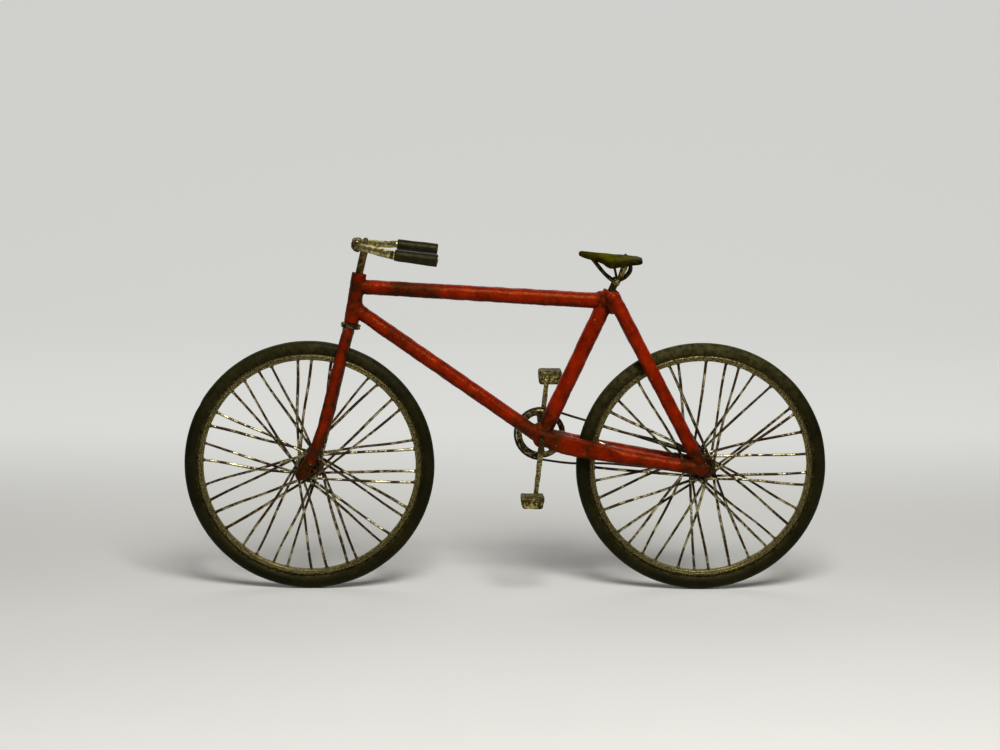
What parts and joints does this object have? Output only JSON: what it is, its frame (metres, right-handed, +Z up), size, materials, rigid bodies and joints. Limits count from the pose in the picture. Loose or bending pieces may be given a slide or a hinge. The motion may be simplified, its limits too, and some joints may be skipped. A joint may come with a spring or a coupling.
{
  "type": "miniature bicycle model",
  "caption": "Handmade miniature bicycle with a diamond frame, equal wire wheels, swept bars, a leather saddle and a chain drive; its wheels, steering, cranks and pedals turn.",
  "frame": {"origin": "top of the saddle on the middle plane, where a rider sits", "axes": "+X points forward, +Y to the rider's left, +Z up with both wheels level"},
  "size_m": [0.0765, 0.019, 0.0421],
  "materials": {
    "frame_paint": "worn deep red brush paint with dark grime and small chips",
    "tyre_rubber": "matt near-black rubber with pale scuffs",
    "grip_rubber": "black rubber sleeve, slightly shiny",
    "saddle_leather": "dark olive brown, low sheen",
    "saddle_wire": "blackened wire",
    "chain_black": "black",
    "wheel_wire": "dull silver with brown rust",
    "bare_metal": "worn bare metal, brown in the hollows",
    "pedal_metal": "dull stained metal"
  },
  "bodies": {
    "frame": {"bottom_bracket_shell": "frame_paint", "seat_tube": "frame_paint", "top_tube": "frame_paint", "down_tube": "frame_paint", "head_tube": "frame_paint", "chain_stay_left": "frame_paint", "chain_stay_right": "frame_paint", "seat_stay_left": "frame_paint", "seat_stay_right": "frame_paint", "rear_end_left": "frame_paint", "rear_end_right": "frame_paint", "rear_axle": "bare_metal", "seat_post": "bare_metal", "saddle_clamp": "saddle_wire", "saddle": "saddle_leather", "saddle_front_rails": "saddle_wire", "saddle_middle_strut": "saddle_wire", "saddle_side_wires": "saddle_wire", "saddle_rear_rails": "saddle_wire", "chain": "chain_black"},
    "steering": {"steering_column": "bare_metal", "headset_ring": "bare_metal", "fork_crown": "frame_paint", "fork_blade_left": "frame_paint", "fork_blade_right": "frame_paint", "front_axle": "bare_metal", "handlebar_lug": "bare_metal", "handlebar": "bare_metal", "grip_left": "grip_rubber", "grip_right": "grip_rubber"},
    "front_wheel": {"front_tyre": "tyre_rubber", "front_rim": "wheel_wire", "front_spokes": "wheel_wire", "front_hub": "wheel_wire"},
    "rear_wheel": {"rear_tyre": "tyre_rubber", "rear_rim": "wheel_wire", "rear_spokes": "wheel_wire", "rear_hub": "wheel_wire", "rear_sprocket": "bare_metal"},
    "cranks": {"crank_axle": "bare_metal", "chainring": "bare_metal", "crank_left": "bare_metal", "crank_right": "bare_metal", "pedal_pin_left": "bare_metal", "pedal_pin_right": "bare_metal"},
    "left_pedal": {"pedal_left": "pedal_metal"},
    "right_pedal": {"pedal_right": "pedal_metal"}
  },
  "joints": [
    {"name": "steering_turn", "type": "hinge", "parent": "frame", "child": "steering", "pos_m": [0.03154, 0, -0.00525], "axis": [-0.165, 0, 0.9863], "range_deg": [-70, 70]},
    {"name": "front_wheel_spin", "type": "hinge", "parent": "steering", "child": "front_wheel", "pos_m": [0.03706, 0, -0.02522], "axis": [0, 1, 0], "continuous": true},
    {"name": "rear_wheel_spin", "type": "hinge", "parent": "frame", "child": "rear_wheel", "pos_m": [-0.00958, 0, -0.02522], "axis": [0, 1, 0], "continuous": true},
    {"name": "crank_spin", "type": "hinge", "parent": "frame", "child": "cranks", "pos_m": [0.00946, 0, -0.02182], "axis": [0, 1, 0], "continuous": true},
    {"name": "left_pedal_spin", "type": "hinge", "parent": "cranks", "child": "left_pedal", "pos_m": [0.01019, 0, -0.02853], "axis": [0, 1, 0], "continuous": true},
    {"name": "right_pedal_spin", "type": "hinge", "parent": "cranks", "child": "right_pedal", "pos_m": [0.00874, 0, -0.01511], "axis": [0, 1, 0], "continuous": true}
  ]
}
